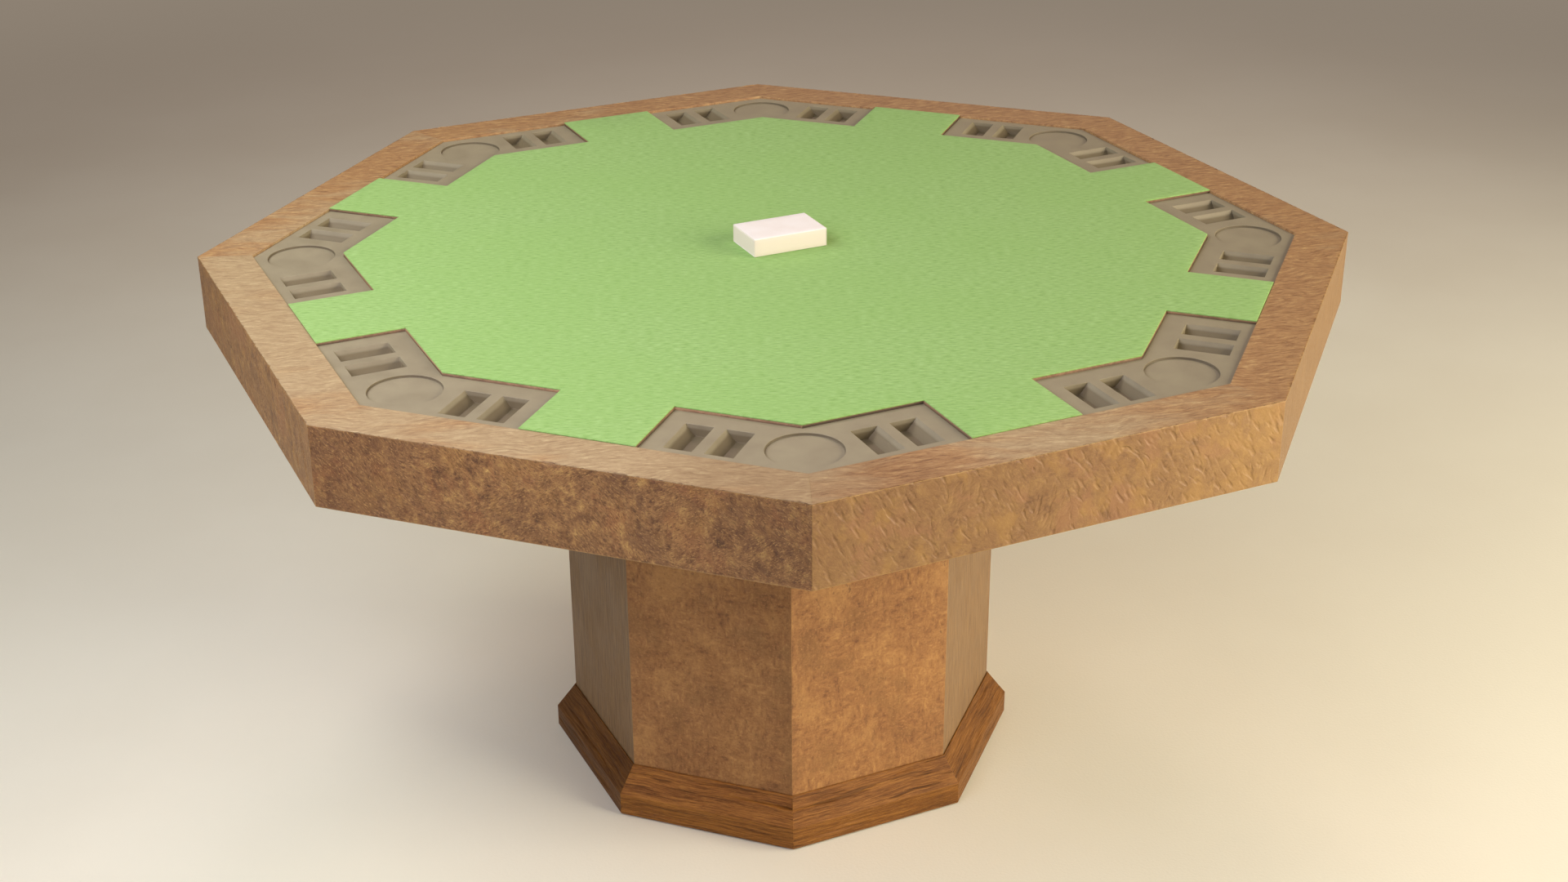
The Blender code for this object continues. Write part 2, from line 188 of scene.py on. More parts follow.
def stations(half_length, spacing, radius):
    """(share of the half length, distance drawn in) along a board whose ends are rounded over."""
    ends = []
    for step in range(ARC_STEPS + 1):
        angle = pi / 2 * step / ARC_STEPS
        ends.append((1 - radius * (1 - sin(angle)) / half_length, radius * (1 - cos(angle))))
    ends.reverse()
    reach = ends[-1][0]
    steps = max(2, round(2 * half_length * reach / spacing))
    middle = [(reach * (2 * step / steps - 1), 0.0) for step in range(1, steps)]
    return [(-share, drop) for share, drop in ends] + middle + [(s, d) for s, d in reversed(ends)]


def board_mesh(name, index, section, spacing, radius, relief):
    """A mitred board of the +X side, lofted along Y. relief(index, along, point, normal, wear) says
    how deep the surface is worn at a place."""
    outer = max(point.x for point, _, _ in section)
    inset_along = MITRE_GAP / 2 / cos(HALF_TURN)
    full = outer * tan(HALF_TURN) - inset_along
    rings, wears, edges = [], [], []
    for share, drop in stations(full, spacing, radius):
        ring = []
        for point, normal, wear in section:
            half = point.x * tan(HALF_TURN) - inset_along
            along = share * half
            depth = drop + relief(index, along, point, normal, wear)
            place = point - normal * depth
            ring.append((place.x, along, place.y))
            end_wear = max(0.0, 1 - (1 - abs(share)) * half / WEAR_REACH)
            wears.append(max(wear, end_wear))
            edges.append(arris_reach(point))
        rings.append(ring)
    mesh = loft_mesh(name, rings)
    shade(mesh)
    point_values(mesh, board=[float(index)] * len(wears), wear=wears, arris=edges)
    return mesh


def smooth(value, low, high):
    share = min(1.0, max(0.0, (value - low) / (high - low)))
    return share * share * (3 - 2 * share)


def field(x, y, z):
    return noise.noise(Vector((x, y, z)))


def hollows(x, y, z, limit):
    """Where the noise field passes a limit, how far it does so."""
    return max(0.0, field(x, y, z) - limit)


def swell(x, y, z):
    return 0.5 + 0.5 * field(x, y, z)


# --- relief of each kind of board ---
RIM_FIGURE = (0.9, 1.0, 0.9, 0.5, 0.0, 0.1, 0.40, 0.8)
APRON_FIGURE = (0.0, 0.8, 0.5, 1.0, 0.8, 1.0, 0.5, 0.0)
COLUMN_FIGURE = (0.0, 1.0, 1.0, 0.0, 0.0, 1.0, 1.0, 0.0)
# painted shade of each plinth rail, darkest on the left rail, which stands in shade
PLINTH_PAINTED_SHADE = (0.2, 0.1, 0.2, 0.1, 0.50, 0.0, 0.22, 0.36)
NIBBLE_DEPTH = 0.0020
CHATTER_DEPTH = 0.0012
DENT_DEPTH = 0.0020
WILD_RIDGES = 0.6                # how high the ridges beside the dents stand, to the dents' depth
SWELL_DEPTH = 0.0003
APRON_SWELL_DEPTH = 0.0006
RIM_WAVE_DEPTH = 0.0003
PIT_DEPTH = 0.0009
GROOVE_DEPTH = 0.0030
BOARD_STEP = 7.3                 # keeps the noise of one board away from the next


def arris_reach(point):
    """How far a point of a section is from the sharp edge between the rim's top and the apron."""
    return (point - Vector((TOP_APOTHEM, RIM_TOP))).length


def arris_wear(index, along):
    """Nibbles along that edge, the same for both boards."""
    nibble = hollows(along * 70, index * BOARD_STEP, 0.0, 0.02)
    chatter = hollows(along * 210, index * BOARD_STEP, 4.0, 0.1)
    return NIBBLE_DEPTH * nibble + CHATTER_DEPTH * chatter


def arris_share(point):
    return 1 - smooth(arris_reach(point), 0.0006, 0.0040)


def rim_relief(index, along, point, normal, wear):
    if normal.y < 0.5 and normal.x < 0.5:
        return 0.0
    angle = index * TURN - GRAIN_ANGLE
    u = point.x * cos(angle) - along * sin(angle)
    v = point.x * sin(angle) + along * cos(angle)
    waves = hollows(u * 28, v * 130, index, -0.1) * RIM_WAVE_DEPTH
    share = arris_share(point)
    return waves * (1 - share) * (1 - wear) + arris_wear(index, along) * share


def apron_relief(index, along, point, normal, wear):
    if normal.x < 0.5:
        return 0.0
    height = point.y - APRON_LOW.z
    shift = index * BOARD_STEP
    lean = 0.8 * field(along * 5, height * 6, shift) - 0.3
    u = along * cos(lean) - height * sin(lean)
    v = along * sin(lean) + height * cos(lean)
    strength = 0.3 + 0.7 * smooth(APRON_FIGURE[index], 0.5, 1.0)
    dents = hollows(u * 150, v * 48, shift, 0.12)
    ridges = WILD_RIDGES * strength * hollows(u * 120, v * 40, shift + 31, 0.2)
    patch = 0.35 + smooth(field(along * 9, height * 12, shift + 5), -0.3, 0.4)
    depth = DENT_DEPTH * strength * patch * (dents - ridges)
    depth += APRON_SWELL_DEPTH * swell(along * 26, height * 26, shift + 3)
    share = arris_share(point)
    return depth * (1 - share) * (1 - 0.8 * wear) + arris_wear(index, along) * share


def column_relief(index, along, point, normal, wear):
    if normal.x < 0.5:
        return 0.0
    shift = index * BOARD_STEP
    pits = PIT_DEPTH * hollows(along * 150, point.y * 110, shift, 0.25)
    return (pits + SWELL_DEPTH * swell(along * 25, point.y * 16, shift)) * (1 - wear)


def plinth_relief(index, along, point, normal, wear):
    if normal.x < 0.3:
        return 0.0
    shift = index * BOARD_STEP
    grooves = GROOVE_DEPTH * hollows(along * 10, point.y * 380, shift, 0.2)
    return (grooves + SWELL_DEPTH * swell(along * 15, point.y * 60, shift)) * (1 - wear)


# --- material nodes ---
class Shading:
    """A material or a world under construction, with short names for the nodes it is made from."""

    def __init__(self, name, kind="materials"):
        self.owner = getattr(bpy.data, kind).new(name)
        self.owner.use_nodes = True
        self.tree = self.owner.node_tree
        self.shader = self.tree.nodes.get("Principled BSDF")

    def put(self, socket, value):
        if isinstance(value, bpy.types.NodeSocket):
            self.tree.links.new(value, socket)
        else:
            socket.default_value = value

    def add(self, kind, inputs=(), **settings):
        node = self.tree.nodes.new("ShaderNode" + kind)
        for key, value in settings.items():
            setattr(node, key, value)
        for key, value in dict(inputs).items():
            self.put(node.inputs[key], value)
        return node

    def coordinates(self):
        return self.add("TexCoord").outputs["Object"]

    def value(self, name):
        return self.add("Attribute", attribute_name=name).outputs["Fac"]

    def maths(self, operation, *values):
        return self.add("Math", enumerate(values), operation=operation).outputs[0]

    def shifted(self, vector, offset):
        return self.add("VectorMath", {0: vector, 1: offset}, operation="ADD").outputs[0]

    def along_x(self, distance):
        return self.add("CombineXYZ", {"X": distance, "Y": 0.0, "Z": 0.0}).outputs[0]

    def parts(self, vector):
        return self.add("SeparateXYZ", {"Vector": vector}).outputs

    def turned(self, vector, angle, kind="Z_AXIS"):
        inputs = {"Vector": vector, "Angle": angle}
        return self.add("VectorRotate", inputs, rotation_type=kind).outputs[0]

    def scaled(self, vector, *factors):
        inputs = {0: vector, 1: factors}
        return self.add("VectorMath", inputs, operation="MULTIPLY").outputs[0]

    def noise(self, vector, scale=1.0, detail=2.0, rough=0.5, warp=0.0):
        names = ("Vector", "Scale", "Detail", "Roughness", "Distortion")
        inputs = zip(names, (vector, scale, detail, rough, warp))
        return self.add("TexNoise", inputs).outputs["Fac"]

    def stretched(self, place, factors, detail=2.0, rough=0.5, warp=0.0):
        """Noise squeezed by a factor along each axis."""
        return self.noise(self.scaled(place, *factors), 1.0, detail, rough, warp)

    def noise_vector(self, vector, scale, detail=2.0):
        node = self.add("TexNoise", {"Vector": vector, "Scale": scale, "Detail": detail})
        return node.outputs["Color"]

    def span(self, value, low, high, to_low=0.0, to_high=1.0):
        names = ("Value", "From Min", "From Max", "To Min", "To Max")
        inputs = zip(names, (value, low, high, to_low, to_high))
        return self.add("MapRange", inputs, interpolation_type="SMOOTHSTEP").outputs[0]

    def mix(self, share, first, second, blend="MIX"):
        inputs = {"Factor": share, 6: first, 7: second}
        return self.add("Mix", inputs, data_type="RGBA", blend_type=blend).outputs[2]

    def tinged(self, base, *layers):
        """Lays screen colours over another, each from none where a value is low to a share at high:
        (value, low, high, share, red, green, blue)."""
        for value, low, high, share, *screen in layers:
            base = self.mix(self.span(value, low, high, 0.0, share), base, srgb(*screen))
        return base

    def blend(self, share, first, second):
        """Numbers, where mix() takes colours."""
        inputs = {"Factor": share, 2: first, 3: second}
        return self.add("Mix", inputs, data_type="FLOAT").outputs[0]

    def total(self, *parts):
        """The weighted sum of some (number, weight) pairs."""
        result = 0.0
        for value, weight in parts:
            result = self.maths("MULTIPLY_ADD", value, weight, result)
        return result

    def length(self, x, y):
        squares = (self.maths("MULTIPLY", x, x), 1.0), (self.maths("MULTIPLY", y, y), 1.0)
        return self.maths("SQRT", self.total(*squares))

    def swirled(self, place, chooser, angles, factors, detail=3.0, rough=0.6, axis="X_AXIS"):
        """Long noise that leans by a different angle in each patch; the chooser is a second noise."""
        result = None
        for step, angle in enumerate(angles):
            leaning = self.turned(place, radians(-angle), axis)
            fibres = self.stretched(leaning, factors, detail, rough)
            if result is None:
                result = fibres
                continue
            start = 0.5 + 0.07 * (step - len(angles) / 2)
            result = self.blend(self.span(chooser, start - 0.02, start + 0.02), result, fibres)
        return result

    def ramp(self, value, *stops):
        """stops are (place from 0 to 1, red, green, blue as on a screen)."""
        node = self.add("ValToRGB", {"Fac": value})
        elements = node.color_ramp.elements
        while len(elements) < len(stops):
            elements.new(0.5)
        for element, (place, *screen) in zip(elements, stops):
            element.position = place
            element.color = srgb(*screen)
        return node.outputs["Color"]

    def bump(self, height, depth):
        inputs = {"Height": height, "Distance": depth, "Strength": 1.0}
        return self.add("Bump", inputs).outputs["Normal"]

    def finish(self, colour, rough, normal, tint=(1.0, 1.0, 1.0), **others):
        colour = self.mix(1.0, colour, (*tint, 1.0), "MULTIPLY")
        inputs = {"Base Color": colour, "Roughness": rough, "Normal": normal, **others}
        for key, value in inputs.items():
            self.put(self.shader.inputs[key.replace("_", " ")], value)
        return self.owner

    def show(self, shader):
        output = next(node for node in self.tree.nodes if node.type.startswith("OUTPUT"))
        self.put(output.inputs["Surface"], shader.outputs[0])


def srgb(red, green, blue):
    """A colour given as it looks on a screen, 0 to 255, in the linear values that Blender uses."""
    channels = [c / 255 for c in (red, green, blue)]
    return (*(c / 12.92 if c <= 0.04045 else ((c + 0.055) / 1.055) ** 2.4 for c in channels), 1.0)


BOARD_SPREAD = 3.7


def board_coordinates(shading):
    """Object coordinates, moved away along X for each board, so that no two boards look alike."""
    away = shading.maths("MULTIPLY", shading.value("board"), BOARD_SPREAD)
    return shading.shifted(shading.coordinates(), shading.along_x(away))


# --- the materials ---
def rim_wood():
    """Fine wavering streaks in greyish tan, redder in places and dulled by hands at the front corner,
    with dark nibs along the worn arris. Attribute figure: how much redder a board is."""
    s = Shading("rim_wood")
    angle = s.maths("MULTIPLY_ADD", s.value("board"), TURN, -GRAIN_ANGLE)
    place = s.turned(s.coordinates(), angle)
    warp = s.noise_vector(place, 16.0)
    swayed = s.shifted(place, s.scaled(warp, 0.015, 0.015, 0.0))
    chooser = s.total((s.noise(place, 14.0, 2.0, warp=0.4), 1.0), (s.value("figure"), 0.05))
    streaks = s.swirled(swayed, chooser, (-10, 4, 16), (52.0, 270.0, 200.0), 5.0, 0.72, "Z_AXIS")
    fibres = s.swirled(swayed, chooser, (-10, 16), (150.0, 860.0, 400.0), 3.0, 0.7, "Z_AXIS")
    bands = s.stretched(swayed, (9.0, 34.0, 20.0), 3.0, warp=0.6)
    clouds = s.noise(place, 4.5, 2.0)
    tan_colour = s.ramp(
        streaks,
        (0.32, 172, 136, 102), (0.46, 194, 159, 123), (0.57, 206, 172, 135), (0.72, 236, 208, 166),
    )
    red_colour = s.ramp(
        streaks,
        (0.32, 142, 96, 63), (0.46, 182, 131, 88), (0.58, 202, 152, 104), (0.72, 234, 190, 136),
    )
    warmth = s.total((clouds, 1.0), (bands, 0.6), (s.value("figure"), 0.45))
    colour = s.tinged(
        s.mix(s.span(warmth, 0.80, 1.14), tan_colour, red_colour),
        (fibres, 0.56, 0.72, 0.5, 138, 104, 76),
        (fibres, 0.42, 0.28, 0.35, 232, 206, 166),
    )
    x, y, _ = s.parts(s.shifted(place, (0.0, TOP_APOTHEM / cos(HALF_TURN), 0.0)))
    dull = s.span(s.length(x, y), 0.21, 0.11)
    colour = s.mix(dull, colour, (0.81, 0.77, 0.72, 1.0), "MULTIPLY")
    along = s.scaled(s.coordinates(), 0.0, 150.0, 0.0)
    nibs = s.noise(s.shifted(along, s.along_x(s.value("board"))), detail=3.0)
    nib = s.maths("SUBTRACT", s.span(nibs, 0.46, 0.72, 0.0, 0.0028), s.value("arris"))
    colour = s.tinged(colour, (nib, -0.0001, 0.0004, 0.7, 128, 90, 60))
    height = s.total((streaks, 0.7), (fibres, 0.3))
    normal = s.bump(height, 0.0007)
    return s.finish(colour, s.span(streaks, 0.2, 0.8, 0.62, 0.48), normal, tint=(0.80, 0.89, 0.78))


BURL_ANGLES = (-50, -34, -20, 30)        # of the fibres in the burl's patches, in degrees from level


def apron_wood():
    """Burl veneer on a hammered surface. Attribute figure: 1 wild and dark, 0.5 calm and golden,
    0 plain upright grain."""
    s = Shading("apron_wood")
    place = board_coordinates(s)
    figure = s.value("figure")
    wild = s.span(figure, 0.5, 1.0)
    sway = s.noise_vector(place, 30.0, 1.0)
    swayed = s.shifted(place, s.scaled(sway, 0.0, 0.006, 0.006))
    along = s.parts(place)[1]
    chooser = s.total((s.noise(place, 12.0, 3.0, warp=0.6), 1.0), (along, 0.22))
    strands = s.swirled(swayed, chooser, BURL_ANGLES, (60.0, 90.0, 290.0), 5.0, 0.70)
    hairs = s.swirled(swayed, chooser, BURL_ANGLES, (60.0, 230.0, 620.0), 3.0, 0.72)
    patches = s.noise(swayed, 66.0, 5.0, 0.74, 0.4)
    speckle = s.noise(swayed, 420.0, 3.0, 0.7)
    tone = s.noise(place, 16.0, 4.0, 0.62, 0.5)
    second_tone = s.noise(s.shifted(place, (2.0, 5.0, 9.0)), 24.0, 3.0, 0.6)
    stranded = s.span(s.total((s.noise(place, 21.0), 1.0), (along, -0.35)), 0.44, 0.60)
    mottle = s.total((patches, 0.85), (strands, 0.15))
    mixed = s.blend(stranded, mottle, s.total((strands, 0.62), (patches, 0.38)))
    dark_burl = s.tinged(
        s.ramp(
            mixed, (0.34, 88, 56, 38), (0.44, 136, 94, 61), (0.52, 164, 117, 78),
            (0.60, 190, 144, 92), (0.70, 240, 196, 128),
        ),
        (tone, 0.48, 0.36, 0.55, 124, 85, 60),
        (tone, 0.52, 0.64, 0.45, 166, 106, 70),
        (second_tone, 0.54, 0.66, 0.30, 190, 138, 80),
        (s.maths("ABSOLUTE", along), 0.05, 0.28, 0.40, 118, 76, 50),
        (hairs, 0.54, 0.65, 0.70, 88, 54, 36),
        (hairs, 0.46, 0.33, 0.58, 218, 170, 112),
    )
    golden = s.tinged(
        s.ramp(
            mixed, (0.34, 122, 83, 53), (0.45, 149, 107, 71), (0.55, 160, 118, 78),
            (0.70, 184, 141, 90),
        ),
        (tone, 0.50, 0.62, 0.6, 168, 118, 86),
        (second_tone, 0.52, 0.64, 0.5, 182, 136, 78),
        (tone, 0.46, 0.34, 0.4, 146, 102, 66),
        (along, 0.05, 0.28, 0.20, 214, 170, 110),
        (hairs, 0.54, 0.70, 0.22, 120, 84, 54),
        (hairs, 0.46, 0.30, 0.25, 206, 162, 108),
    )
    burl = s.tinged(
        s.mix(wild, golden, dark_burl),
        (speckle, 0.60, 0.74, s.span(wild, 0.0, 1.0, 0.15, 0.55), 92, 58, 38),
        (speckle, 0.40, 0.28, s.span(wild, 0.0, 1.0, 0.2, 0.55), 226, 180, 112),
    )
    straight = s.stretched(place, (60.0, 640.0, 14.0), 3.0, 0.6)
    plain = s.ramp(
        straight,
        (0.30, 120, 88, 60), (0.46, 146, 109, 74), (0.60, 160, 123, 86), (0.76, 178, 142, 104),
    )
    # Lighter patches along the arris of the calm and plain boards: rubbed wear and a painted highlight
    # where the light catches the edge.
    rubbed_and_highlight = s.span(wild, 0.2, 0.0, 0.0, s.span(patches, 0.35, 0.65, 0.15, 0.7))
    colour = s.tinged(
        s.mix(s.span(figure, 0.0, 0.4), plain, burl),
        (s.value("wear"), 0.85, 1.0, 0.30, 214, 170, 108),
        (s.value("arris"), 0.0014, 0.0006, rubbed_and_highlight, 226, 182, 124),
    )
    bent = s.shifted(place, s.scaled(sway, 0.0, 0.004, 0.004))
    dents = s.swirled(bent, chooser, (-62, -52, -58, 74), (60.0, 44.0, 130.0), 1.0)
    dent = s.span(dents, 0.50, 0.80)
    calm = s.total((patches, 0.30), (strands, 0.16), (dent, -0.5))
    rough_burl = s.total((mixed, 1.0), (speckle, 0.12), (dent, -0.3))
    height = s.blend(s.span(figure, 0.0, 0.4), straight, s.blend(wild, calm, rough_burl))
    normal = s.bump(height, 0.0016)
    return s.finish(colour, s.span(strands, 0.3, 0.7, 0.60, 0.46), normal, tint=(0.83, 0.87, 0.69))


def column_wood():
    """Two veneers by attribute figure: 1 mottled, as if woven; 0 straight upright grain."""
    s = Shading("column_wood")
    place = board_coordinates(s)
    swayed = s.shifted(place, s.scaled(s.noise_vector(place, 55.0), 0.0, 0.0035, 0.0035))
    blotches = s.stretched(swayed, (60.0, 84.0, 60.0), 5.0, 0.72, 0.5)
    weft = s.stretched(swayed, (60.0, 74.0, 180.0), 4.0, 0.62)
    warp = s.stretched(swayed, (60.0, 170.0, 74.0), 4.0, 0.62)
    clouds = s.noise(place, 16.0, 4.0, 0.6)
    fine = s.stretched(swayed, (200.0, 330.0, 400.0), 3.0, 0.65)
    weave = s.blend(s.span(s.noise(place, 48.0), 0.42, 0.58), weft, warp)
    mixed = s.total((weave, 0.50), (clouds, 0.22), (blotches, 0.28))
    patch = s.noise(place, 13.0, 4.0, 0.6)
    mottled = s.tinged(
        s.ramp(
            mixed,
            (0.36, 122, 80, 50), (0.45, 160, 109, 68), (0.54, 181, 128, 79), (0.65, 208, 156, 99),
        ),
        (patch, 0.50, 0.64, 0.55, 148, 104, 63),
        (patch, 0.48, 0.36, 0.45, 204, 152, 96),
    )
    # Painted shade: the dark blotches are the veneer's own, but their growing denser towards the top
    # stands in for the table top's shade.
    level = s.parts(s.coordinates())[2]
    limit = s.span(level, 0.15, 0.60, 0.62, 0.53)
    dark = s.span(s.maths("SUBTRACT", blotches, limit), -0.03, 0.12, 0.0, 0.65)
    mottled = s.tinged(
        s.mix(dark, mottled, srgb(108, 68, 44)),
        (fine, 0.56, 0.70, 0.5, 120, 78, 50),
        (fine, 0.44, 0.30, 0.45, 216, 164, 108),
    )
    straight = s.stretched(swayed, (60.0, 420.0, 18.0), 4.0, 0.65)
    upright = s.ramp(
        straight,
        (0.32, 120, 92, 67), (0.45, 141, 109, 78), (0.57, 154, 120, 86), (0.72, 172, 138, 101),
    )
    kind = s.value("figure")
    colour = s.mix(kind, upright, mottled)
    colour = s.tinged(colour, (s.value("wear"), 0.88, 1.0, 0.30, 214, 168, 112))
    height = s.blend(kind, straight, s.total((weave, 0.8), (fine, 0.2), (dark, -0.4)))
    normal = s.bump(height, 0.0008)
    return s.finish(colour, s.span(clouds, 0.3, 0.7, 0.64, 0.52), normal, tint=(0.82, 0.84, 0.70))


def plinth_wood():
    """Darker, redder wood with long open grooves along each rail. Attribute figure: how much painted
    shade darkens a rail, most on the rails that stand in shade.
    """
    s = Shading("plinth_wood")
    place = board_coordinates(s)
    swayed = s.shifted(place, s.scaled(s.noise_vector(place, 10.0), 0.0, 0.0, 0.010))
    lines = s.stretched(swayed, (120.0, 19.0, 640.0), 5.0, 0.7)
    broad = s.stretched(swayed, (40.0, 7.0, 110.0), 2.0)
    pores = s.stretched(swayed, (300.0, 90.0, 1300.0), 3.0, 0.65)
    grooves = s.stretched(swayed, (120.0, 10.0, 260.0), 2.0)
    mixed = s.total((lines, 0.75), (broad, 0.25))
    colour = s.tinged(
        s.ramp(
            mixed,
            (0.35, 96, 60, 38), (0.44, 132, 86, 54), (0.53, 156, 105, 66), (0.66, 188, 134, 88),
        ),
        (pores, 0.56, 0.68, 0.55, 84, 52, 34),
        (pores, 0.44, 0.32, 0.45, 202, 148, 98),
        (grooves, 0.62, 0.70, 0.5, 70, 42, 26),
        (s.value("wear"), 0.86, 1.0, 0.2, 180, 126, 78),
    )
    # painted shade: each rail darkens by its figure
    colour = s.mix(s.value("figure"), colour, srgb(40, 24, 14))
    normal = s.bump(s.total((lines, 1.0), (s.span(grooves, 0.62, 0.70), -0.6)), 0.0010)
    rough = s.span(lines, 0.3, 0.7, 0.6, 0.45)
    return s.finish(colour, rough, normal, tint=(0.955, 0.90, 0.385), Specular_IOR_Level=0.25)


PLY = 0.0032                     # two layers of the plywood
CARD = 0.00036


def panel_wood():
    """Unfinished board: pale face grain along Y, and the layers of plywood in its edges."""
    s = Shading("panel_wood")
    place = s.coordinates()
    grain = s.stretched(place, (160.0, 6.0, 160.0), 4.0, 0.6, 0.4)
    figure = s.stretched(place, (22.0, 2.5, 30.0), 3.0, warp=1.2)
    layers = s.maths("SINE", s.maths("MULTIPLY", s.parts(place)[2], 2 * pi / PLY))
    normals = s.add("NewGeometry").outputs["Normal"]
    upright = s.maths("ABSOLUTE", s.parts(normals)[2])
    side = s.span(upright, 0.7, 0.3)
    face = s.ramp(grain, (0.30, 132, 96, 66), (0.50, 170, 132, 94), (0.70, 194, 156, 114))
    face = s.tinged(face, (figure, 0.45, 0.7, 0.35, 128, 88, 58))
    edge = s.tinged(srgb(74, 60, 42), (layers, -0.3, 0.5, 1.0, 108, 88, 62))
    colour = s.mix(side, face, edge)
    return s.finish(colour, 0.78, s.bump(grain, 0.0004))


def green_felt():
    s = Shading("green_felt")
    place = s.turned(s.coordinates(), -GRAIN_ANGLE)
    swayed = s.shifted(place, s.scaled(s.noise_vector(place, 30.0), 0.0, 0.004, 0.0))
    ripples = s.stretched(swayed, (95.0, 400.0, 100.0), 2.0, 0.5)
    fibres = s.noise(place, 1700.0, 2.0, 0.7)
    lint = s.stretched(place, (320.0, 900.0, 300.0), 2.0, 0.6)
    clouds = s.noise(place, 5.0, 3.0)
    colour = s.tinged(
        s.ramp(
            ripples,
            (0.30, 148, 189, 98), (0.44, 163, 203, 112), (0.56, 171, 209, 121), (0.70, 182, 218, 132),
        ),
        (clouds, 0.35, 0.65, 0.25, 160, 204, 104),
        (fibres, 0.55, 0.75, 0.25, 196, 226, 150),
        (lint, 0.62, 0.78, 0.25, 132, 174, 88),
    )
    normal = s.bump(s.total((ripples, 0.8), (fibres, 0.2)), 0.0011)
    sheen = {"Sheen_Weight": 0.06, "Sheen_Roughness": 0.5, "Specular_IOR_Level": 0.2}
    return s.finish(colour, 0.95, normal, tint=(0.86, 0.915, 0.97), **sheen)


def tray_plastic():
    """Matt moulded plastic: a fine stipple, faint clouding, and painted shade in the recesses."""
    s = Shading("tray_plastic")
    place = s.coordinates()
    clouds = s.noise(place, 22.0, 4.0, 0.6)
    stipple = s.noise(place, 1500.0, 2.0, 0.6)
    scuffs = s.stretched(place, (60.0, 900.0, 200.0), 3.0, warp=0.6)
    x, y, depth = s.parts(place)
    from_wall = s.maths("ABSOLUTE", s.maths("SUBTRACT", s.length(x, y), CUP_RADIUS))
    # painted shade on the wall of the cup recess and round its foot
    grime_and_painted_shade = s.span(depth, -0.0001, -0.0008, 0.0, 0.62)
    colour = s.tinged(
        s.ramp(clouds, (0.32, 156, 144, 122), (0.50, 164, 152, 130), (0.68, 171, 159, 136)),
        # painted shade: darker brown deeper down in the troughs
        (depth, -0.0031, -0.0065, 0.72, 122, 106, 80),
        (from_wall, 0.0016, 0.0003, grime_and_painted_shade, 96, 82, 64),
        (scuffs, 0.66, 0.78, 0.20, 188, 178, 158),
    )
    rough = s.span(clouds, 0.3, 0.7, 0.52, 0.66)
    normal = s.bump(stipple, 0.00018)
    return s.finish(colour, rough, normal, tint=(0.87, 0.90, 0.78), Specular_IOR_Level=0.4)


def white_card():
    """Coated paperboard: faint fibres, a warm cast, and painted shade that makes the sides slightly
    darker than the top.
    """
    s = Shading("white_card")
    place = s.coordinates()
    fibres = s.stretched(place, (900.0, 1400.0, 1400.0), 3.0, 0.7)
    clouds = s.noise(place, 45.0, 3.0)
    facing = s.maths("ABSOLUTE", s.parts(s.add("TexCoord").outputs["Normal"])[2])
    colour = s.tinged(
        s.ramp(clouds, (0.3, 251, 246, 235), (0.7, 255, 252, 243)),
        (fibres, 0.60, 0.78, 0.35, 226, 214, 198),
        # painted shade: faces that look less upwards get the darker, warmer side colour
        (facing, 0.7, 0.3, 1.0, 242, 229, 214),
    )
    return s.finish(colour, s.span(clouds, 0.3, 0.7, 0.5, 0.62), s.bump(fibres, 0.00006))


def card_stock():
    """The edges of a stack of cards: one thin line a card."""
    s = Shading("card_stock")
    place = s.coordinates()
    lines = s.maths("SINE", s.maths("MULTIPLY", s.parts(place)[2], 2 * pi / CARD))
    drift = s.stretched(place, (40.0, 40.0, 2800.0), 1.0)
    colour = s.tinged(
        srgb(238, 234, 226),
        (lines, -0.2, 0.8, 0.5, 186, 178, 166),
        (drift, 0.45, 0.7, 0.4, 206, 198, 186),
    )
    return s.finish(colour, 0.45, s.bump(lines, 0.00008))


def zinc_steel():
    s = Shading("zinc_steel")
    place = s.coordinates()
    crystals = s.noise(place, 420.0, 3.0, 0.6)
    scratches = s.stretched(place, (2600.0, 300.0, 300.0), 2.0)
    colour = s.ramp(crystals, (0.3, 150, 150, 148), (0.7, 196, 194, 188))
    rough = s.span(scratches, 0.3, 0.7, 0.30, 0.5)
    return s.finish(colour, rough, s.bump(scratches, 0.00004), Metallic=1.0)


def foot_plastic():
    s = Shading("foot_plastic")
    place = s.coordinates()
    grime_and_painted_shade = s.noise(place, 120.0, 3.0)
    stipple = s.noise(place, 2200.0, 2.0)
    colour = s.ramp(grime_and_painted_shade, (0.35, 38, 37, 36), (0.65, 60, 58, 55))
    colour = s.tinged(colour, (s.parts(place)[2], 0.0015, 0.0, 0.4, 104, 98, 90))
    return s.finish(colour, s.span(grime_and_painted_shade, 0.3, 0.7, 0.45, 0.62), s.bump(stipple, 0.00012))


# --- wooden boards ---
def rim_section():
    return section_points([
        (RIM_INNER, RAIL_LOW.z, 0.0004),
        (APRON_BACK - SEAM, RAIL_LOW.z, 0.0004),
        (TOP_APOTHEM - SEAM, RIM_TOP, RIM_ARRIS, RIM_SPACING),
        (RIM_INNER, RIM_TOP, 0.0006),
    ])


def apron_section():
    return section_points([
        (APRON_BACK, APRON_LOW.z, 0.0008),
        (TOP_APOTHEM, APRON_LOW.z, APRON_LOW_RADIUS, RIM_SPACING),
        (TOP_APOTHEM, RIM_TOP - SEAM, RIM_ARRIS),
        (APRON_BACK, RAIL_LOW.z - SEAM, 0.0004),
    ])


def column_section():
    return section_points([
        (PANEL_LOW.x, PANEL_LOW.z, 0.0008),
        (PANEL_HIGH.x, PANEL_LOW.z, COLUMN_RADIUS, COLUMN_SPACING),
        (PANEL_HIGH.x, PANEL_HIGH.z, COLUMN_RADIUS),
        (PANEL_LOW.x, PANEL_HIGH.z, 0.0008),
    ])


